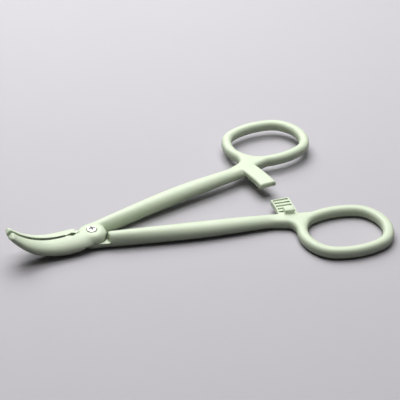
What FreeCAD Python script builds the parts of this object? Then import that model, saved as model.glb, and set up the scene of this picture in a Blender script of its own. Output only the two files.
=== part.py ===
# Locking curved hemostat forceps in moulded plastic: two one-piece arms that cross in a lap joint,
# held by a cross-recess screw and a hex nut.
# Millimetres, +Z up. The origin is on the pivot axis, in the plane of the joint's flat underside.
# +X runs along the bisector of the arms towards the finger rings, and the jaws point to -X.
# The upper arm has its ring at +Y and its jaw at -Y; the lower arm has them the other way round.
# Each arm is built in its own frame, which is the row's frame with the jaws shut.
import FreeCAD, Part
import math
import os

from FreeCAD import Vector

# Pose in which the forceps is modelled
rest_opening = 1.4          # degrees that each arm is turned from the shut pose

# Lap joint
joint_height = 7.4          # thickness of the two crossed halves together
lap_gap = 0.1               # running gap between the two lap faces
disc_radius = 6.55          # round plate that each arm has at the pivot
disc_rounding = 3.0         # rounding of the plate's outer rim
shoulder_radius = 6.95      # concave shoulder where an arm gets its full height back
shoulder_runout = 5.8       # half-width of the straight run-out at the shoulder's ends

# Pivot screw and nut
shaft_radius = 1.3
bore_gap = 0.05             # running clearance of the shaft in both arms, on the radius
head_radius = 2.1
head_height = 1.2
head_recess_gap = 0.25      # room round the head in its recess
head_recess_depth = 0.6
head_crown = 0.35           # rise of the head's crowned top
head_lift = 0.05            # running gap under the head
driver_slot_width = 0.7
driver_slot_length = 2.9
driver_slot_depth = 0.8
nut_across_flats = 5.0
nut_height = 1.8
nut_pocket_gap = 0.1        # room round the nut and over it
nut_recess = 0.2            # how deep the nut lies inside the flat underside
thread_gap = 0.03

# Jaws, measured along the top edge
jaw_root_x = 1.0            # where the jaw's section starts, inside the joint
jaw_swell_x = 7.5           # widest place, just outside the joint
jaw_bend_x = 14.7           # start of the upward curve
jaw_curve_radius = 29.3     # of the top edge
jaw_curve_angle = 45.5      # degrees swept up to the tip
jaw_half_widths = (6.4, 7.15, 6.85, 5.5, 3.7)   # at root, swell, bend, mid-curve and tip
jaw_heights = (7.35, 7.4, 7.4, 5.9, 3.0)        # at the same five places
jaw_face_gap = 0.1          # each inner face stands this far from the parting plane when shut
tip_rounding = 0.7
heel_notch_x = 9.0          # wide notch in both inner faces behind the teeth, distance from the pivot
heel_notch_width = 3.9
heel_notch_depth = 0.9
serration_pitch = 0.95
serration_depth = 0.6
serration_land = 0.1        # flat left between two grooves
serration_start = 12.5      # distance of the first groove from the pivot
serration_end_margin = 1.2  # plain stretch left at the tip

# Shanks, measured along the arm's line from the pivot
shank_angle = 9.8           # degrees from the parting plane when shut
shank_root_stations = (0.0, 10.0, 22.0)
shank_full_to_neck = 18.0   # from the shank's fullest place to the start of the neck web
shank_overlap = 13.0        # how far the shank reaches along the neck web
shank_inner = (0.7, 0.65, 0.6, 0.45, 0.3, 0.1)      # inner side, as distance from that line
shank_outer = (6.2, 7.1, 7.9, 8.9, 7.9, 7.5)        # outer side
shank_tops = (7.35, 7.4, 7.3, 6.8, 6.05, 5.1)       # heights, before the upper arm's rise
shank_bottom = 0.05

section_sides = 24          # sides of the outline that stands for an oval in jaws and shanks

# Finger rings
ring_centre_radius = 110.9  # distance from the pivot to the ring's centre
ring_centre_angle = 19.14   # degrees from the parting plane when shut
ring_turn = 4.1             # turn of the ring's long axis
ring_half_length = 19.1     # to the middle of the rim
ring_half_width = 15.56
ring_corner_radius = 11.2
ring_bulge = 1.1            # how far each side of the oval bows out
rim_width = 4.8
rim_height = 5.05
rim_rounding = 2.1
ring_floor_gap = 0.1        # the lower ring's underside above the joint's underside
ring_rise = 2.65            # the upper ring stands this much higher than the lower one

# Neck web between shank, ring and ratchet
neck_to_ring = 40.9         # from its blunt point inside the shank to the ring's centre
neck_point_width = 4.5
neck_taper = 9.0            # length over which the web gets as wide as the shank
neck_inset = 0.4
neck_corner_to_ring = 23.0  # from its outer corner to the ring's centre, along a radius
neck_corner_angle = 15.7    # and its angle when shut
neck_outer_anchor = 176.0   # directions from the ring's centre in which the web ends in the rim
neck_inner_anchor = 241.0
neck_bar_overlap = 1.6      # degrees that the web covers of the ratchet bar
neck_blend = 3.5

# Ratchet bars, as sectors about the pivot, placed from the ring's centre to their side next to the pivot
upper_bar_to_ring = 27.9
upper_bar_width = 7.9
upper_bar_rounding = 1.0
upper_tip_angle = 0.3       # end of the upper bar when shut
lower_bar_to_ring = 27.4
lower_bar_width = 8.6
lower_bar_thickness = 2.1   # below the tooth roots
lower_bar_rounding = 0.35
lower_tip_angle = 3.4       # end of the lower bar when shut
ratchet_root_angle = 12.5
tooth_count = 5
tooth_pitch = 2.3
tooth_depth = 0.65
tooth_overlap = 0.3         # how far the two toothed faces would reach into each other
tooth_land = 0.35           # flat left on each tooth's crest
tooth_border_in = 0.65      # plain borders beside the lower teeth, on the pivot's side
tooth_border_out = 0.7      # and on the ring's side
tooth_border_tip = 0.4      # degrees left plain at the lower bar's tip
block_to_ring = 24.8        # stop block on the lower bar
block_width = 4.4
block_start_angle = 9.7
block_sweep = 2.3
block_height = 2.1
block_root = 0.5            # depth to which the block runs below the tooth roots
block_rounding = 0.35

# Sizes that follow from the ones above
lap_plane = joint_height / 2
ring_top = ring_floor_gap + rim_height      # of the lower ring
neck_start = ring_centre_radius - neck_to_ring
neck_full = neck_start + neck_taper
neck_corner_radius = ring_centre_radius - neck_corner_to_ring
shank_stations = shank_root_stations + (neck_start - shank_full_to_neck, neck_start,
                                        neck_start + shank_overlap)
upper_bar_inner = ring_centre_radius - upper_bar_to_ring
lower_bar_inner = ring_centre_radius - lower_bar_to_ring
block_inner = ring_centre_radius - block_to_ring
upper_bar_outer = upper_bar_inner + upper_bar_width
lower_bar_outer = lower_bar_inner + lower_bar_width
over = 2.0                  # cutting tools reach this far past the faces that they open
far = 400.0                 # larger than the whole forceps


def polar(radius, angle, z=0.0):
    turn = math.radians(angle)
    return Vector(radius * math.cos(turn), radius * math.sin(turn), z)


def along_shank(distance, offset, z=0.0):
    """Point beside the shank's line: offset is outward, to +Y."""
    turn = math.radians(shank_angle)
    return Vector(distance * math.cos(turn) - offset * math.sin(turn),
                  distance * math.sin(turn) + offset * math.cos(turn), z)


def rounded_oval(centre, across, up, half_a, half_b, corner, bulge_a, bulge_b):
    """Closed oval wire of eight tangent arcs: four corners and four gently bowed sides."""
    corner_a = half_a - corner - bulge_a
    corner_b = half_b - corner - bulge_b
    side_a = (corner_b ** 2 + (half_a - corner_a) ** 2 - corner ** 2) / (2 * bulge_a)
    side_b = (corner_a ** 2 + (half_b - corner_b) ** 2 - corner ** 2) / (2 * bulge_b)
    turn_a = math.atan2(corner_b, corner_a - half_a + side_a)
    turn_b = math.atan2(corner_a, corner_b - half_b + side_b)
    turn_mid = (math.pi / 2 - turn_b + turn_a) / 2
    joint_a = (half_a - side_a + math.cos(turn_a) * side_a, math.sin(turn_a) * side_a)
    joint_b = (math.sin(turn_b) * side_b, half_b - side_b + math.cos(turn_b) * side_b)
    middle = (corner_a + corner * math.cos(turn_mid), corner_b + corner * math.sin(turn_mid))
    marks = []
    for sign_a, sign_b, turned in ((1, 1, False), (-1, 1, True), (-1, -1, False), (1, -1, True)):
        points = [(half_a, 0), joint_a, middle, joint_b, (0, half_b)]
        if turned:
            points.reverse()
        marks += [centre + across * (sign_a * a) + up * (sign_b * b) for a, b in points[:-1]]
    count = len(marks)
    return Part.Wire([Part.Arc(marks[k - 1], marks[k], marks[(k + 1) % count]).toShape()
                      for k in range(0, count, 2)])


def oval_section(centre, across, up, half_width, half_height):
    """Oval outline of a jaw or a shank, drawn with short sides, in the plane of two unit vectors."""
    points = []
    for k in range(section_sides):
        turn = 2 * math.pi * k / section_sides
        points.append(centre + across * (half_width * math.cos(turn)) + up * (half_height * math.sin(turn)))
    return Part.makePolygon(points + points[:1])


def block(x0, x1, y0, y1, z0, z1):
    return Part.makeBox(x1 - x0, y1 - y0, z1 - z0, Vector(x0, y0, z0))


def sector(inner, outer, start, end, z0, z1):
    """Flat bar between two radii and two angles about the pivot."""
    middle = (start + end) / 2
    edges = [Part.makeLine(polar(inner, start, z0), polar(outer, start, z0)),
             Part.Arc(polar(outer, start, z0), polar(outer, middle, z0), polar(outer, end, z0)).toShape(),
             Part.makeLine(polar(outer, end, z0), polar(inner, end, z0)),
             Part.Arc(polar(inner, end, z0), polar(inner, middle, z0), polar(inner, start, z0)).toShape()]
    return Part.Face(Part.Wire(edges)).extrude(Vector(0, 0, z1 - z0))


def level_edges(shape, z):
    """Edges that lie flat at one height."""
    return [e for e in shape.Edges if abs(e.BoundBox.ZMin - z) < 1e-4 and abs(e.BoundBox.ZMax - z) < 1e-4]


def inner_corners(solid):
    """Upright edges of a plate where its outline turns inwards."""
    found = []
    for edge in solid.Edges:
        if edge.BoundBox.ZLength > 1 and len(edge.Vertexes) == 2 and edge.BoundBox.XLength < 1e-3:
            middle = edge.CenterOfMass
            around = [middle + polar(0.3, 30 * k) for k in range(12)]
            if sum(solid.isInside(p, 1e-6, False) for p in around) > 6:
                found.append(edge)
    return found


def jaw_place(distance):
    """Top edge point, tangent and downward normal at a distance along the jaw, in the parting plane."""
    straight = jaw_bend_x - jaw_root_x
    if distance <= straight:
        return Vector(-jaw_root_x - distance, 0, joint_height), Vector(-1, 0, 0), Vector(0, 0, -1)
    turn = (distance - straight) / jaw_curve_radius
    point = Vector(-jaw_bend_x - jaw_curve_radius * math.sin(turn), 0,
                   joint_height + jaw_curve_radius * (1 - math.cos(turn)))
    return point, Vector(-math.cos(turn), 0, math.sin(turn)), Vector(-math.sin(turn), 0, -math.cos(turn))


def jaw_length():
    return jaw_bend_x - jaw_root_x + jaw_curve_radius * math.radians(jaw_curve_angle)


def jaw_size(distance):
    """Half-width and height of the jaw's section at a distance along it."""
    straight = jaw_bend_x - jaw_root_x
    marks = (0.0, jaw_swell_x - jaw_root_x, straight, (straight + jaw_length()) / 2, jaw_length())
    k = max(i for i in range(len(marks) - 1) if marks[i] <= distance)
    share = (distance - marks[k]) / (marks[k + 1] - marks[k])
    return (jaw_half_widths[k] + share * (jaw_half_widths[k + 1] - jaw_half_widths[k]),
            jaw_heights[k] + share * (jaw_heights[k + 1] - jaw_heights[k]))


def jaw_section(distance, inset):
    """The jaw's oval outline at a distance along it, drawn in on all sides by an inset."""
    top, tangent, down = jaw_place(distance)
    half_width, height = jaw_size(distance)
    return oval_section(top + down * (height / 2), Vector(0, 1, 0), down * -1,
                        half_width - inset, height / 2 - inset)


def make_jaw():
    """The upper arm's jaw: the -Y half of a tapering oval that curves up to a blunt rounded tip."""
    straight = jaw_bend_x - jaw_root_x
    body_end = jaw_length() - tip_rounding
    curve = body_end - straight
    places = [0.0, jaw_swell_x - jaw_root_x, straight, straight + curve / 4, straight + curve / 2,
              straight + curve * 3 / 4, body_end]
    body = Part.makeLoft([jaw_section(place, 0) for place in places], True, False)
    turns = [math.radians(angle) for angle in (0, 45, 90)]
    tip = Part.makeLoft([jaw_section(body_end + tip_rounding * math.sin(turn),
                                     tip_rounding * (1 - math.cos(turn))) for turn in turns], True, True)
    return body.fuse(tip).cut(block(-far, far, -jaw_face_gap, far, -far, far))


def face_groove(place, width, depth):
    """Tool for one V groove across the upper arm's inner jaw face, square to its curved line."""
    top, tangent, down = jaw_place(place - jaw_root_x)
    middle = top - down * joint_height + Vector(0, -jaw_face_gap, 0)
    side = tangent * (width / 2)
    outward = Vector(0, over, 0)
    corners = [middle + side, middle + side + outward, middle - side + outward, middle - side,
               middle + Vector(0, -depth, 0)]
    return Part.Face(Part.makePolygon(corners + corners[:1])).extrude(down * (3 * joint_height))


def jaw_grooves():
    """Tools for the fine serrations up to the tip and for the wide notch behind them."""
    count = int((jaw_length() + jaw_root_x - serration_end_margin - serration_start) / serration_pitch)
    grooves = [face_groove(serration_start + k * serration_pitch, serration_pitch - serration_land,
                           serration_depth) for k in range(count)]
    return grooves + [face_groove(heel_notch_x, heel_notch_width, heel_notch_depth)]


def rise_at(distance, rise):
    """Height that a raised handle has gained at a distance along the shank."""
    start, end = shank_stations[1], shank_stations[-1]
    return rise * min(1.0, max(0.0, (distance - start) / (end - start)))


def make_shank(rise):
    """Handle bar of oval section, fullest at the middle, that reaches from the joint into the neck."""
    across = along_shank(0, 1)
    sections = []
    for distance, inner, outer, top in zip(shank_stations, shank_inner, shank_outer, shank_tops):
        lift = rise_at(distance, rise)
        centre = along_shank(distance, (inner + outer) / 2, (top + shank_bottom) / 2 + lift)
        sections.append(oval_section(centre, across, Vector(0, 0, 1), (outer - inner) / 2,
                                     (top - shank_bottom) / 2))
    return Part.makeLoft(sections, True, False)


def ring_face(grow, z):
    """Flat face inside the ring's oval, grown or shrunk from the middle of the rim."""
    centre = polar(ring_centre_radius, ring_centre_angle, z)
    wire = rounded_oval(centre, polar(1, ring_turn), polar(1, ring_turn + 90), ring_half_length + grow,
                        ring_half_width + grow, ring_corner_radius + grow, ring_bulge, ring_bulge)
    return Part.Face(wire)


def neck_face(z):
    """Flat web that joins shank, ring and ratchet root, from a blunt point inside the shank."""
    centre = polar(ring_centre_radius, ring_centre_angle)
    outward = polar(ring_half_length, ring_turn + neck_outer_anchor)
    inward = polar(ring_half_length, ring_turn + neck_inner_anchor)
    point_offset = (shank_inner[-2] + shank_outer[-2]) / 2
    corners = [along_shank(neck_full, shank_inner[-1] + neck_inset),
               along_shank(neck_start, point_offset - neck_point_width / 2),
               along_shank(neck_start, point_offset + neck_point_width / 2),
               along_shank(neck_full, shank_outer[-1] - neck_inset),
               polar(neck_corner_radius, neck_corner_angle),
               centre + outward,
               centre + inward,
               polar(lower_bar_outer, ratchet_root_angle - neck_bar_overlap)]
    corners = [Vector(c.x, c.y, z) for c in corners]
    return Part.Face(Part.makePolygon(corners + corners[:1]))


def rounded_edges(solid, rounding, sides):
    """The solid with its level edges rounded off by three bevels each.

    Each side gives the height of the edges and the way inwards, up or down."""
    first = rounding * (2 - math.sqrt(2))
    second = rounding * (math.tan(math.radians(22.5)) - math.tan(math.radians(11.25)))
    solid = solid.makeChamfer(first, [edge for z, way in sides for edge in level_edges(solid, z)])
    edges = [edge for z, way in sides for level in (z, z + way * first) for edge in level_edges(solid, level)]
    return solid.makeChamfer(second, edges)


def make_ring_and_neck(rise):
    """Finger ring and neck as one plate with rounded edges."""
    z0 = ring_floor_gap + rise
    z1 = z0 + rim_height
    up = Vector(0, 0, rim_height)
    plate = ring_face(rim_width / 2, z0).extrude(up).fuse(neck_face(z0).extrude(up)).removeSplitter()
    plate = plate.makeFillet(neck_blend, inner_corners(plate))
    hole = ring_face(-rim_width / 2, z0 - over).extrude(Vector(0, 0, rim_height + 2 * over))
    return rounded_edges(plate.cut(hole), rim_rounding, ((z0, 1), (z1, -1)))


def make_disc(z0, z1, outer_side):
    """Round lap plate with one rounded rim."""
    disc = Part.makeCylinder(disc_radius, z1 - z0, Vector(0, 0, z0))
    return rounded_edges(disc, disc_rounding, (outer_side,))


def lap_pocket(z0, z1):
    """Space at the pivot that one arm leaves free for the other's plate."""
    round_part = Part.makeCylinder(shoulder_radius, z1 - z0, Vector(0, 0, z0))
    return round_part.fuse(block(-shoulder_runout, shoulder_runout, -far, far, z0, z1))


def tooth_prism(profile, angle):
    """Wedge from an outline in (distance from the bar's tip, height), set square to a radius."""
    radial = polar(1, angle)
    tangent = polar(1, angle + 90)
    base = radial * (upper_bar_inner - over)
    corners = [base + tangent * t + Vector(0, 0, z) for t, z in profile]
    width = lower_bar_outer - upper_bar_inner + 2 * over
    return Part.Face(Part.makePolygon(corners + corners[:1])).extrude(radial * width)


def tooth_angle(tip_angle, k):
    middle = (lower_bar_inner + lower_bar_outer) / 2
    return tip_angle + math.degrees(k * tooth_pitch / middle)


def make_upper_ratchet():
    """Bar flush with the neck's top, with saw teeth cut into its underside, steep towards the root."""
    crest = ring_top - tooth_overlap
    root_level = crest + tooth_depth
    top = ring_top + ring_rise
    bar = sector(upper_bar_inner, upper_bar_outer, upper_tip_angle, ratchet_root_angle, crest, top)
    bar = rounded_edges(bar, upper_bar_rounding, ((top, -1),))
    ramp = [(0, crest - over), (0, root_level), (tooth_pitch - tooth_land, crest),
            (tooth_pitch - tooth_land, crest - over)]
    plain = [(0, crest - over), (0, root_level), (far, root_level), (far, crest - over)]
    cuts = [tooth_prism(ramp, tooth_angle(upper_tip_angle, k)) for k in range(tooth_count)]
    cuts.append(tooth_prism(plain, tooth_angle(upper_tip_angle, tooth_count)))
    return bar.cut(cuts)


def make_lower_ratchet():
    """Bar with saw teeth sunk into its top, and a stop block at its root."""
    bottom = ring_top - lower_bar_thickness - tooth_depth
    bar = sector(lower_bar_inner, lower_bar_outer, lower_tip_angle, ratchet_root_angle, bottom, ring_top)
    bar = rounded_edges(bar, lower_bar_rounding, ((bottom, 1),))
    envelope = sector(lower_bar_inner + tooth_border_in, lower_bar_outer - tooth_border_out,
                      lower_tip_angle + tooth_border_tip, ratchet_root_angle, bottom, ring_top + over)
    profile = [(0, ring_top + over), (0, ring_top - tooth_depth), (tooth_pitch - tooth_land, ring_top),
               (tooth_pitch - tooth_land, ring_top + over)]
    grooves = [tooth_prism(profile, tooth_angle(lower_tip_angle + tooth_border_tip, k))
               for k in range(tooth_count)]
    grooves = grooves[0].fuse(grooves[1:]).common(envelope)
    stop = sector(block_inner, block_inner + block_width, block_start_angle, block_start_angle + block_sweep,
                  ring_top - tooth_depth - block_root, ring_top + block_height)
    stop = rounded_edges(stop, block_rounding, ((ring_top + block_height, -1),))
    return bar.cut(grooves).fuse(stop)


def make_upper_arm():
    """Front jaw, upper lap plate, far handle, and the ratchet with its teeth down."""
    plate_bottom = lap_plane + lap_gap / 2
    body = make_jaw().fuse([make_shank(ring_rise), make_disc(plate_bottom, joint_height, (joint_height, -1))])
    body = body.cut(lap_pocket(-far, plate_bottom))
    body = body.fuse([make_ring_and_neck(ring_rise), make_upper_ratchet()])
    bore = Part.makeCylinder(shaft_radius + bore_gap, far, Vector(0, 0, -far / 2))
    recess = Part.makeCylinder(head_radius + head_recess_gap, far,
                               Vector(0, 0, joint_height - head_recess_depth))
    return body.cut([bore, recess] + jaw_grooves())


def mirrored(shape):
    return shape.mirror(Vector(0, 0, 0), Vector(0, 1, 0))


def nut_prism(across_flats, z0, z1):
    corner = across_flats / 2 / math.cos(math.radians(30))
    corners = [polar(corner, 60 * k, z0) for k in range(7)]
    return Part.Face(Part.makePolygon(corners)).extrude(Vector(0, 0, z1 - z0))


def make_lower_arm():
    """Rear jaw, lower lap plate, near handle, and the ratchet with its teeth up and its stop block."""
    plate_top = lap_plane - lap_gap / 2
    body = make_jaw().fuse([make_shank(0), make_disc(0, plate_top, (0, 1))])
    body = body.cut(lap_pocket(plate_top, far))
    body = body.fuse([make_ring_and_neck(0), make_lower_ratchet()])
    bore = Part.makeCylinder(shaft_radius + bore_gap, far, Vector(0, 0, -far / 2))
    pocket = nut_prism(nut_across_flats + 2 * nut_pocket_gap, -over, nut_recess + nut_height + nut_pocket_gap)
    body = body.cut([bore, pocket] + jaw_grooves())
    return mirrored(body)


def make_screw():
    """Cross-recess screw: a crowned head in the upper arm and a plain shaft down into the nut."""
    seat = joint_height - head_recess_depth + head_lift
    edge = seat + head_height - head_crown
    crown = seat + head_height
    outline = [Part.makeLine(Vector(0, 0, nut_recess), Vector(shaft_radius, 0, nut_recess)),
               Part.makeLine(Vector(shaft_radius, 0, nut_recess), Vector(shaft_radius, 0, seat)),
               Part.makeLine(Vector(shaft_radius, 0, seat), Vector(head_radius, 0, seat)),
               Part.makeLine(Vector(head_radius, 0, seat), Vector(head_radius, 0, edge)),
               Part.Arc(Vector(head_radius, 0, edge), Vector(head_radius * 0.62, 0, edge + head_crown * 0.62),
                        Vector(0, 0, crown)).toShape(),
               Part.makeLine(Vector(0, 0, crown), Vector(0, 0, nut_recess))]
    screw = Part.Face(Part.Wire(outline)).revolve(Vector(0, 0, 0), Vector(0, 0, 1), 360)
    half_length, half_width = driver_slot_length / 2, driver_slot_width / 2
    floor = crown - driver_slot_depth
    slot = block(-half_length, half_length, -half_width, half_width, floor, far)
    return screw.cut([slot, slot.rotated(Vector(0, 0, 0), Vector(0, 0, 1), 90)])


def make_nut():
    """Hex nut held in the lower arm's pocket."""
    nut = nut_prism(nut_across_flats, nut_recess, nut_recess + nut_height)
    return nut.cut(Part.makeCylinder(shaft_radius + thread_gap, far, Vector(0, 0, -far / 2)))


def write(name, shape, turn):
    """Turn a piece from the shut pose to the modelled one and write it."""
    placed = shape.rotated(Vector(0, 0, 0), Vector(0, 0, 1), turn)
    placed.exportStep("parts/" + name + ".step")
    print(name, "solids", len(placed.Solids), "valid", placed.isValid(), "volume", round(placed.Volume, 2))


os.makedirs("parts", exist_ok=True)
write("front_jaw_arm", make_upper_arm(), rest_opening)
write("rear_jaw_arm", make_lower_arm(), -rest_opening)
write("pivot_screw", make_screw(), -rest_opening)
write("pivot_nut", make_nut(), -rest_opening)
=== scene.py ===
# Locking curved hemostat forceps in moulded plastic: materials, soft blends and a photo stage around the
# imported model. Everything is in metres, in the model's own frame: pivot on Z, rings at +X, and the jaws at -X
# with their tips turned up.
import math

import bpy
import numpy as np
from mathutils import Matrix, Vector


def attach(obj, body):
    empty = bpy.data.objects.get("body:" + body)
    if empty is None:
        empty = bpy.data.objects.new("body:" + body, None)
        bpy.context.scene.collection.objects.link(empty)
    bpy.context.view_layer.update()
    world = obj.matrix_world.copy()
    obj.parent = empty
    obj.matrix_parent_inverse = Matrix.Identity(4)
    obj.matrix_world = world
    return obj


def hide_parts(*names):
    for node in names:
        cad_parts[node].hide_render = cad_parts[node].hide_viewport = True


bl_info = {
    "name": "Hemostat Forceps",
    "version": (1, 0, 0),
    "blender": (4, 5, 0),
    "location": "View3D > Sidebar > Forceps",
    "description": "Finishes moulded plastic hemostat forceps and sets their photo stage",
    "category": "Object",
}

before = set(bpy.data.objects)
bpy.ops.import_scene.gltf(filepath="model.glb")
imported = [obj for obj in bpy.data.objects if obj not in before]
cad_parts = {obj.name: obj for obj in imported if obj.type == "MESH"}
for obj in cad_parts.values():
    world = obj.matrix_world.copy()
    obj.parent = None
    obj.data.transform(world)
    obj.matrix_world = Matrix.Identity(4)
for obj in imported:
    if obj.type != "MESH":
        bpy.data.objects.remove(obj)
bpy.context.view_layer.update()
MM = 0.001

# Places on an arm in its own frame, in millimetres and degrees. Each pair is where a mask starts and ends.
REST_OPENING = 1.4              # turn of each arm from the shut pose
LAP_PLANE = 3.7                 # height at which the two arms meet
LAP_DEPTH = (0.5, 1.4)          # from the lap plane up or down
LAP_REACH = (10.0, 12.0)        # from the pivot
SEAT_REACH = (2.9, 3.9)         # screw seat, from the pivot
JAW_FROM = -5.0                 # the jaw lies beyond this x
JAW_FACE_DEPTH = (1.0, 2.2)     # from the parting plane into the jaw
RINGS_FROM = 50.0               # ratchet, neck and ring lie beyond this x
BAR_NEAR = (81.5, 82.5)         # ratchet bar, side towards the pivot
BAR_FAR = (92.5, 93.5)          # ratchet bar, side towards the ring
BAR_ROOT = (10.2, 11.6)         # angle at which the bar grows out of the neck
JOINT_REACH = (9.0, 14.0)
JOINT_RIM = (-3.0, 2.0)         # x over which the flow into the jaw gives way to the plate's free rim
JOINT_RIM_HELD = 0.65           # share by which that rim is smoothed less
NECK_NEAR = (66.0, 74.0)
NECK_FAR = (92.0, 98.0)
NECK_SHARE = 0.35               # the neck is smoothed this much of the joint's


def linear(hex_colour):
    """sRGB hex to linear RGBA."""
    parts = [int(hex_colour[k:k + 2], 16) / 255 for k in (1, 3, 5)]
    return tuple(v / 12.92 if v <= 0.04045 else ((v + 0.055) / 1.055) ** 2.4 for v in parts) + (1.0,)


def add_node(tree, kind, settings=(), values=(), links=()):
    """Adds a node, sets its properties and socket values, and links its inputs from (node, output) pairs."""
    node = tree.nodes.new(kind)
    for name, value in dict(settings).items():
        setattr(node, name, value)
    for name, value in dict(values).items():
        node.inputs[name].default_value = value
    for name, (source, output) in dict(links).items():
        tree.links.new(source.outputs[output], node.inputs[name])
    return node


def start_material(name):
    """An empty node material, its tree and its output node."""
    material = bpy.data.materials.new(name)
    material.use_nodes = True
    tree = material.node_tree
    tree.nodes.clear()
    output = tree.nodes.new("ShaderNodeOutputMaterial")
    return material, tree, output


def moulded_plastic(name, colours):
    """Injection-moulded polypropylene-like plastic: satin skin with a fine spark-eroded grain. Narrow
    recesses, such as the serrations and the slots of the joint, get painted shade, darkened by ambient
    occlusion."""
    material, tree, output = start_material(name)
    place = add_node(tree, "ShaderNodeTexCoord")

    # Two tints run into each other over the flow of the plastic
    flow = add_node(tree, "ShaderNodeTexNoise",
                    values={"Scale": 1 / (14 * MM), "Detail": 2.0, "Roughness": 0.5},
                    links={"Vector": (place, "Object")})
    tint = add_node(tree, "ShaderNodeMix", {"data_type": "RGBA"},
                    {6: linear(colours.body), 7: linear(colours.flow)}, {0: (flow, "Fac")})

    # Painted shade, by ambient occlusion: in slots up to about 3 mm wide, and in grooves as fine as the
    # serrations
    slot = add_node(tree, "ShaderNodeAmbientOcclusion", {"samples": 12}, {"Distance": 3.0 * MM})
    unshaded_share = add_node(tree, "ShaderNodeMapRange", values={"From Min": 0.15, "From Max": 0.62},
                     links={"Value": (slot, "AO")})
    groove = add_node(tree, "ShaderNodeAmbientOcclusion", {"samples": 12, "only_local": True},
                      {"Distance": 0.7 * MM})
    unshaded_share = add_node(tree, "ShaderNodeMapRange", values={"From Min": 0.45, "From Max": 0.85},
                     links={"Value": (groove, "AO"), "To Max": (unshaded_share, "Result")})
    skin = add_node(tree, "ShaderNodeMix", {"data_type": "RGBA"}, {6: linear(colours.painted_recess_shade)},
                    {0: (unshaded_share, "Result"), 7: (tint, 2)})

    # Spark-eroded grain of about 0.45 mm, over the slow waves that a moulding's skin has as it shrinks
    grain = add_node(tree, "ShaderNodeTexNoise",
                     values={"Scale": 1 / (0.45 * MM), "Detail": 2.0, "Roughness": 0.6},
                     links={"Vector": (place, "Object")})
    waves = add_node(tree, "ShaderNodeTexNoise", values={"Scale": 1 / (5 * MM), "Detail": 1.0},
                     links={"Vector": (place, "Object")})
    soft = add_node(tree, "ShaderNodeBump", values={"Strength": 0.12, "Distance": 0.25 * MM},
                    links={"Height": (waves, "Fac")})
    bump = add_node(tree, "ShaderNodeBump", values={"Strength": 0.10, "Distance": 0.02 * MM},
                    links={"Height": (grain, "Fac"), "Normal": (soft, "Normal")})
    rough = add_node(tree, "ShaderNodeMapRange", values={"To Min": 0.34, "To Max": 0.46},
                     links={"Value": (waves, "Fac")})
    shader = add_node(tree, "ShaderNodeBsdfPrincipled",
                      values={"IOR": 1.49, "Subsurface Weight": 0.06, "Subsurface Scale": 0.5 * MM,
                              "Subsurface Radius": (1.0, 1.0, 0.8)},
                      links={"Base Color": (skin, 2), "Roughness": (rough, "Result"),
                             "Normal": (bump, "Normal")})
    tree.links.new(shader.outputs[0], output.inputs["Surface"])
    return material


def plated_steel(name, colour, dull, painted_shade, roughness):
    """Zinc-plated steel: bright, a little milky, with dull specks and rubbed patches. Its recesses get
    painted shade, darkened by ambient occlusion."""
    material, tree, output = start_material(name)
    place = add_node(tree, "ShaderNodeTexCoord")
    patch = add_node(tree, "ShaderNodeTexNoise",
                     values={"Scale": 1 / (0.9 * MM), "Detail": 4.0, "Roughness": 0.6},
                     links={"Vector": (place, "Object")})
    tint = add_node(tree, "ShaderNodeMix", {"data_type": "RGBA"}, {6: linear(colour), 7: linear(dull)},
                    {0: (patch, "Fac")})
    # Painted shade: ambient occlusion darkens the colour in the recesses, such as the screw's cross
    painted_recess_shade = add_node(tree, "ShaderNodeAmbientOcclusion", {"samples": 12, "only_local": True},
                      {"Distance": 1.6 * MM})
    unshaded_share = add_node(tree, "ShaderNodeMapRange", values={"From Min": 0.5, "From Max": 0.9},
                     links={"Value": (painted_recess_shade, "AO")})
    metal = add_node(tree, "ShaderNodeMix", {"data_type": "RGBA"}, {6: linear(painted_shade)},
                     {0: (unshaded_share, "Result"), 7: (tint, 2)})
    rough = add_node(tree, "ShaderNodeMapRange",
                     values={"To Min": roughness - 0.08, "To Max": roughness + 0.1},
                     links={"Value": (patch, "Fac")})
    bump = add_node(tree, "ShaderNodeBump", values={"Strength": 0.15, "Distance": 0.02 * MM},
                    links={"Height": (patch, "Fac")})
    shader = add_node(tree, "ShaderNodeBsdfPrincipled", values={"Metallic": 1.0},
                      links={"Base Color": (metal, 2), "Roughness": (rough, "Result"),
                             "Normal": (bump, "Normal")})
    tree.links.new(shader.outputs[0], output.inputs["Surface"])
    return material


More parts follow.
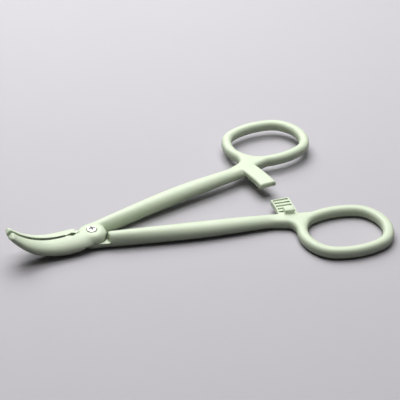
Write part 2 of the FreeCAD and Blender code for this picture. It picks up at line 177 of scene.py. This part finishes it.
def painted_board(name, colours):
    """Matt pale board. Only the camera and mirror-like rays see its full paleness, so that its bounce is weak
    and the undersides stay as dark as on a product photo; the shadows on it stay. Far from the object, out of
    the lamps' reach, those rays see it evenly pale up to the backdrop's top."""
    material, tree, output = start_material(name)
    path = add_node(tree, "ShaderNodeLightPath")
    seen = add_node(tree, "ShaderNodeMath", {"operation": "MAXIMUM"},
                    links={0: (path, "Is Camera Ray"), 1: (path, "Is Glossy Ray")})
    seen = add_node(tree, "ShaderNodeMath", {"operation": "MAXIMUM"},
                    links={0: (seen, 0), 1: (path, "Is Transmission Ray")})
    place = add_node(tree, "ShaderNodeTexCoord")
    mottle = add_node(tree, "ShaderNodeTexNoise", values={"Scale": 1 / (60 * MM), "Detail": 3.0},
                      links={"Vector": (place, "Object")})
    tint = add_node(tree, "ShaderNodeMix", {"data_type": "RGBA"},
                    {6: linear(colours.floor), 7: linear(colours.floor_mottle)}, {0: (mottle, "Fac")})
    shown = add_node(tree, "ShaderNodeMix", {"data_type": "RGBA"}, {6: linear(colours.floor_bounce)},
                     {0: (seen, 0), 7: (tint, 2)})
    shader = add_node(tree, "ShaderNodeBsdfPrincipled", values={"Roughness": 0.75, "Specular IOR Level": 0.2},
                      links={"Base Color": (shown, 2)})
    reach = add_node(tree, "ShaderNodeVectorMath", {"operation": "LENGTH"}, links={0: (place, "Object")})
    far = add_node(tree, "ShaderNodeMapRange", {"interpolation_type": "SMOOTHSTEP"},
                   {"From Min": 0.28, "From Max": 0.8}, {"Value": (reach, "Value"), "To Max": (seen, 0)})
    glow = add_node(tree, "ShaderNodeEmission", values={"Color": linear(colours.backdrop), "Strength": 1.0})
    both = add_node(tree, "ShaderNodeMixShader", links={0: (far, "Result"), 1: (shader, 0), 2: (glow, 0)})
    tree.links.new(both.outputs[0], output.inputs["Surface"])
    return material


def dress(node, material):
    """Gives a node of the model its finished material."""
    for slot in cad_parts[node].material_slots:
        slot.material = material


def deselect_all():
    """Leaves edit mode, with nothing selected."""
    if bpy.context.object and bpy.context.object.mode != "OBJECT":
        bpy.ops.object.mode_set(mode="OBJECT")
    bpy.ops.object.select_all(action="DESELECT")


class ForcepsFinish(bpy.types.PropertyGroup):
    body: bpy.props.StringProperty(
        name="Plastic", description="Main colour of the moulded arms, sRGB hex", default="#e6f2d8")
    flow: bpy.props.StringProperty(
        name="Flow tint", description="Second colour of the plastic, sRGB hex", default="#e0eed0")
    # Colour of the painted shade in the plastic's recesses
    painted_recess_shade: bpy.props.StringProperty(
        name="Plastic grime", description="Colour in the plastic's recesses, sRGB hex", default="#3d4728")
    screw: bpy.props.StringProperty(
        name="Screw", description="Colour of the plated screw, sRGB hex", default="#ebe9e6")
    screw_dull: bpy.props.StringProperty(
        name="Screw, dull", description="Colour of its dull specks, sRGB hex", default="#cfccc6")
    nut: bpy.props.StringProperty(
        name="Nut", description="Colour of the plated nut, sRGB hex", default="#c9c6c0")
    nut_dull: bpy.props.StringProperty(
        name="Nut, dull", description="Colour of its dull specks, sRGB hex", default="#a8a49c")
    # Colour of the painted shade in the screw's cross
    metal_painted_shade: bpy.props.StringProperty(
        name="Metal grime", description="Colour in the screw's cross, sRGB hex", default="#2b2724")
    floor: bpy.props.StringProperty(
        name="Floor", description="Colour of the floor, sRGB hex", default="#cdcacf")
    floor_mottle: bpy.props.StringProperty(
        name="Floor mottle", description="Second colour of the floor, sRGB hex", default="#cac8cd")
    floor_bounce: bpy.props.StringProperty(
        name="Floor bounce", description="Colour of the light that the floor throws back", default="#6e6c70")
    backdrop: bpy.props.StringProperty(
        name="Backdrop", description="Colour of the far floor and the backdrop, sRGB hex", default="#d9d7dc")
    skin_step: bpy.props.FloatProperty(
        name="Skin step", description="Mesh step of the moulded skin",
        default=0.14 * MM, unit="LENGTH", precision=5)
    skin_passes: bpy.props.IntProperty(
        name="Skin passes", description="Smoothing of the plain skin", default=40)
    blend_passes: bpy.props.IntProperty(
        name="Blend passes", description="Smoothing at the joint and the neck", default=420)
    last_passes: bpy.props.IntProperty(
        name="Last passes", description="Smoothing of the whole arm", default=2)
    triangles: bpy.props.IntProperty(
        name="Triangles", description="Most triangles in one arm", default=190000)
    sharp_angle: bpy.props.FloatProperty(
        name="Sharp angle", description="Edges stay sharp above this",
        default=math.radians(40), subtype="ANGLE")


class ForcepsStage(bpy.types.PropertyGroup):
    azimuth: bpy.props.FloatProperty(
        name="Camera azimuth", description="Turn of the camera about the object",
        default=math.radians(-25.11), subtype="ANGLE")
    elevation: bpy.props.FloatProperty(
        name="Camera elevation", description="Height of the camera over the horizon",
        default=math.radians(33.0), subtype="ANGLE")
    roll: bpy.props.FloatProperty(
        name="Camera roll", description="Turn of the camera about its own axis",
        default=math.radians(0.98), subtype="ANGLE")
    distance: bpy.props.FloatProperty(
        name="Camera distance", description="From the point looked at", default=608.22 * MM, unit="LENGTH")
    lens: bpy.props.FloatProperty(
        name="Lens", description="Focal length in millimetres", default=119.74)
    target: bpy.props.FloatVectorProperty(
        name="Target", description="Point that the camera looks at",
        default=(57.40 * MM, 12.89 * MM, 0.0), unit="LENGTH")
    dish_radius: bpy.props.FloatProperty(
        name="Floor radius", description="Half-width of the flat floor", default=1.6, unit="LENGTH")
    dish_bend: bpy.props.FloatProperty(
        name="Floor bend", description="Radius of the curve from floor to backdrop",
        default=0.6, unit="LENGTH")
    backdrop_rise: bpy.props.FloatProperty(
        name="Backdrop rise", description="Upright part of the backdrop", default=1.4, unit="LENGTH")
    ambient: bpy.props.FloatProperty(
        name="Ambient", description="Strength of the world's even light", default=0.09)
    ambient_colour: bpy.props.StringProperty(
        name="Ambient colour", description="Colour of the world's even light, sRGB hex", default="#f4f3f6")
    softbox: bpy.props.FloatProperty(
        name="Softbox", description="Power of the broad overhead light", default=4.6, unit="POWER")
    softbox_size: bpy.props.FloatProperty(
        name="Softbox size", description="Side of the square light", default=0.75, unit="LENGTH")
    softbox_distance: bpy.props.FloatProperty(
        name="Softbox distance", description="From the point looked at", default=0.75, unit="LENGTH")
    softbox_lean: bpy.props.FloatProperty(
        name="Softbox lean", description="Away from the camera, off the vertical",
        default=math.radians(14), subtype="ANGLE")
    back_light: bpy.props.FloatProperty(
        name="Back light", description="Power of the light from behind", default=4.1, unit="POWER")
    back_size: bpy.props.FloatProperty(
        name="Back light size", description="Side of the square light", default=0.65, unit="LENGTH")
    back_distance: bpy.props.FloatProperty(
        name="Back light distance", description="From the point looked at", default=0.8, unit="LENGTH")
    back_lean: bpy.props.FloatProperty(
        name="Back light lean", description="Away from the camera, off the vertical",
        default=math.radians(42), subtype="ANGLE")
    lamp_turn: bpy.props.FloatProperty(
        name="Lamp turn", description="Turn of both lights towards the camera's left",
        default=math.radians(18), subtype="ANGLE")


def ramp(value, low, high):
    """0 below low, 1 above high, smooth between."""
    share = np.clip((value - low) / (high - low), 0.0, 1.0)
    return share * share * (3 - 2 * share)


def arm_places(piece, side):
    """Vertex positions in millimetres in an arm's own frame, jaws shut, and mirrored so that its jaw is at
    -Y."""
    points = np.empty(len(piece.data.vertices) * 3)
    piece.data.vertices.foreach_get("co", points)
    x, y, z = points.reshape(-1, 3).T
    y = y * side
    turn = math.radians(REST_OPENING)
    return x * math.cos(turn) + y * math.sin(turn), y * math.cos(turn) - x * math.sin(turn), z


def softness(piece, side):
    """How far each vertex may be smoothed: 0 on ratchet, serrations, lap faces and screw seat, 1 on plain
    skin."""
    x, y, z = arm_places(piece, side)
    radius = np.hypot(x, y)
    angle = np.degrees(np.arctan2(y, x))
    serrations = np.where(x < JAW_FROM, 1 - ramp(-y, *JAW_FACE_DEPTH), 0.0)
    lap = (1 - ramp(np.abs(z - LAP_PLANE), *LAP_DEPTH)) * (1 - ramp(radius, *LAP_REACH))
    seat = 1 - ramp(radius, *SEAT_REACH)
    bar = (ramp(radius, *BAR_NEAR) * (1 - ramp(radius, *BAR_FAR)) * (1 - ramp(angle, *BAR_ROOT))
           * (x > RINGS_FROM))
    kept = np.maximum.reduce([serrations, lap, seat, bar])
    return 1 - np.clip(kept, 0.0, 1.0)


def blends(piece, side):
    """Where the moulding flows together: round the joint and at the neck."""
    x, y, z = arm_places(piece, side)
    radius = np.hypot(x, y)
    joint = (1 - ramp(radius, *JOINT_REACH)) * (1 - JOINT_RIM_HELD * ramp(x, *JOINT_RIM))
    neck = NECK_SHARE * ramp(radius, *NECK_NEAR) * (1 - ramp(radius, *NECK_FAR)) * (x > RINGS_FROM)
    return np.maximum(joint, neck) * softness(piece, side)


def smooth(piece, weights, repeats):
    """Relaxes the surface where the weights allow it, in tenths."""
    group = piece.vertex_groups.new(name="relaxed")
    for level in range(1, 11):
        chosen = np.nonzero(np.round(weights * 10).astype(int) == level)[0]
        if len(chosen):
            group.add(chosen.tolist(), level / 10, "REPLACE")
    modifier = piece.modifiers.new("relax", "SMOOTH")
    modifier.factor = 0.5
    modifier.iterations = repeats
    modifier.vertex_group = group.name
    bpy.ops.object.modifier_apply(modifier=modifier.name)
    piece.vertex_groups.clear()


def moulded_copy(node, side, finish):
    """The arm's form with its facets and creases flowed together, as a moulding has them. It is worked in
    millimetres, and put back into metres at the end."""
    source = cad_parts[node]
    piece = bpy.data.objects.new(node + "_moulding", source.data.copy())
    bpy.context.scene.collection.objects.link(piece)
    deselect_all()
    piece.select_set(True)
    bpy.context.view_layer.objects.active = piece
    piece.data.transform(Matrix.Scale(1 / MM, 4))
    bpy.ops.object.mode_set(mode="EDIT")
    bpy.ops.mesh.select_all(action="SELECT")
    bpy.ops.mesh.remove_doubles(threshold=0.001)
    bpy.ops.mesh.normals_make_consistent(inside=False)
    bpy.ops.object.mode_set(mode="OBJECT")
    modifier = piece.modifiers.new("skin", "REMESH")
    modifier.mode = "VOXEL"
    modifier.voxel_size = finish.skin_step / MM
    bpy.ops.object.modifier_apply(modifier=modifier.name)
    smooth(piece, softness(piece, side), finish.skin_passes)
    smooth(piece, blends(piece, side), finish.blend_passes)
    smooth(piece, np.ones(len(piece.data.vertices)), finish.last_passes)
    modifier = piece.modifiers.new("lighten", "DECIMATE")
    modifier.ratio = min(1.0, finish.triangles / (2 * len(piece.data.polygons)))
    bpy.ops.object.modifier_apply(modifier=modifier.name)
    bpy.ops.object.shade_smooth_by_angle(angle=finish.sharp_angle)
    piece.data.transform(Matrix.Scale(MM, 4))
    piece.data.materials.clear()
    return piece


class FORCEPS_OT_arms(bpy.types.Operator):
    """Makes both moulded arms in their satin plastic"""
    bl_idname = "forceps.arms"
    bl_label = "Arms"

    def execute(self, context):
        finish = context.scene.forceps_finish
        material = moulded_plastic("moulded_satin_plastic", finish)
        for node, body, side in (("front_jaw_arm", "front_arm", 1), ("rear_jaw_arm", "rear_arm", -1)):
            piece = moulded_copy(node, side, finish)
            piece.data.materials.append(material)
            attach(piece, body)
            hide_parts(node)
        return {"FINISHED"}


class FORCEPS_OT_hardware(bpy.types.Operator):
    """Gives the screw and the nut their plated steel"""
    bl_idname = "forceps.hardware"
    bl_label = "Screw and nut"

    def execute(self, context):
        finish = context.scene.forceps_finish
        dress("pivot_screw", plated_steel("zinc_plated_screw", finish.screw, finish.screw_dull,
                                          finish.metal_painted_shade, roughness=0.4))
        dress("pivot_nut", plated_steel("zinc_plated_nut", finish.nut, finish.nut_dull,
                                        finish.metal_painted_shade, roughness=0.36))
        return {"FINISHED"}


class FORCEPS_OT_stage(bpy.types.Operator):
    """Sets the floor, the lights and the camera"""
    bl_idname = "forceps.stage"
    bl_label = "Stage"

    def execute(self, context):
        stage = context.scene.forceps_stage
        make_floor(stage, context.scene.forceps_finish)
        make_lights(stage)
        make_camera(stage)
        return {"FINISHED"}


def make_floor(stage, finish):
    """Pale floor whose rim curves up into a backdrop on all sides."""
    deselect_all()
    bpy.ops.mesh.primitive_circle_add(vertices=96, radius=stage.dish_radius, fill_type="NGON")
    floor = bpy.context.object
    floor.name = "floor"
    bpy.ops.object.mode_set(mode="EDIT")
    bpy.ops.mesh.select_all(action="SELECT")
    bpy.ops.mesh.region_to_loop()
    steps, bend = 10, stage.dish_bend
    for k in range(steps):
        low, high = math.radians(90 * k / steps), math.radians(90 * (k + 1) / steps)
        radius_low = stage.dish_radius + bend * math.sin(low)
        radius_high = stage.dish_radius + bend * math.sin(high)
        bpy.ops.mesh.extrude_edges_move(
            TRANSFORM_OT_translate={"value": (0, 0, bend * (math.cos(low) - math.cos(high)))})
        bpy.ops.transform.resize(value=(radius_high / radius_low, radius_high / radius_low, 1),
                                 center_override=(0, 0, 0))
    bpy.ops.mesh.extrude_edges_move(TRANSFORM_OT_translate={"value": (0, 0, stage.backdrop_rise)})
    bpy.ops.object.mode_set(mode="OBJECT")
    bpy.ops.object.shade_smooth_by_angle(angle=math.radians(30))
    floor.data.materials.append(painted_board("painted_board", finish))


def make_lights(stage):
    """A weak even world and two broad soft lights, overhead and from behind."""
    world = bpy.data.worlds.new("studio")
    world.use_nodes = True
    background = world.node_tree.nodes["Background"]
    background.inputs["Color"].default_value = linear(stage.ambient_colour)
    background.inputs["Strength"].default_value = stage.ambient
    bpy.context.scene.world = world
    target = Vector(stage.target)
    heading = stage.azimuth + stage.lamp_turn
    away = Vector((-math.sin(heading), math.cos(heading), 0))
    for name, lean, distance, size, power in (
            ("softbox", stage.softbox_lean, stage.softbox_distance, stage.softbox_size, stage.softbox),
            ("back_light", stage.back_lean, stage.back_distance, stage.back_size, stage.back_light)):
        data = bpy.data.lights.new(name, "AREA")
        data.shape = "SQUARE"
        data.size = size
        data.energy = power
        lamp = bpy.data.objects.new(name, data)
        bpy.context.scene.collection.objects.link(lamp)
        lamp.location = target + (away * math.sin(lean) + Vector((0, 0, math.cos(lean)))) * distance
        lamp.rotation_euler = (target - lamp.location).to_track_quat("-Z", "Y").to_euler()


def make_camera(stage):
    """Camera at the photo's viewing angle, distance and lens."""
    data = bpy.data.cameras.new("camera")
    data.sensor_width = 36.0
    data.lens = stage.lens
    data.clip_start = 0.01
    camera = bpy.data.objects.new("camera", data)
    bpy.context.scene.collection.objects.link(camera)
    level = math.cos(stage.elevation)
    back = Vector((math.sin(stage.azimuth) * level, -math.cos(stage.azimuth) * level,
                   math.sin(stage.elevation)))
    right = Vector((0, 0, 1)).cross(back).normalized()
    turn = Matrix((right, back.cross(right), back)).transposed() @ Matrix.Rotation(stage.roll, 3, "Z")
    camera.matrix_world = Matrix.Translation(Vector(stage.target) + back * stage.distance) @ turn.to_4x4()
    bpy.context.scene.camera = camera
    bpy.context.scene.view_settings.view_transform = "Standard"


OPERATORS = (FORCEPS_OT_arms, FORCEPS_OT_hardware, FORCEPS_OT_stage)


class FORCEPS_PT_panel(bpy.types.Panel):
    bl_label = "Hemostat forceps"
    bl_idname = "FORCEPS_PT_panel"
    bl_space_type = "VIEW_3D"
    bl_region_type = "UI"
    bl_category = "Forceps"

    def draw(self, context):
        for group in (context.scene.forceps_finish, context.scene.forceps_stage):
            for name in group.__annotations__:
                self.layout.prop(group, name)
        for operator in OPERATORS:
            self.layout.operator(operator.bl_idname)


CLASSES = (ForcepsFinish, ForcepsStage) + OPERATORS + (FORCEPS_PT_panel,)


def register():
    for item in CLASSES:
        bpy.utils.register_class(item)
    bpy.types.Scene.forceps_finish = bpy.props.PointerProperty(type=ForcepsFinish)
    bpy.types.Scene.forceps_stage = bpy.props.PointerProperty(type=ForcepsStage)


def unregister():
    del bpy.types.Scene.forceps_stage
    del bpy.types.Scene.forceps_finish
    for item in reversed(CLASSES):
        bpy.utils.unregister_class(item)


def main():
    register()
    bpy.ops.forceps.arms()
    bpy.ops.forceps.hardware()
    bpy.ops.forceps.stage()


if __name__ == "__main__":
    main()
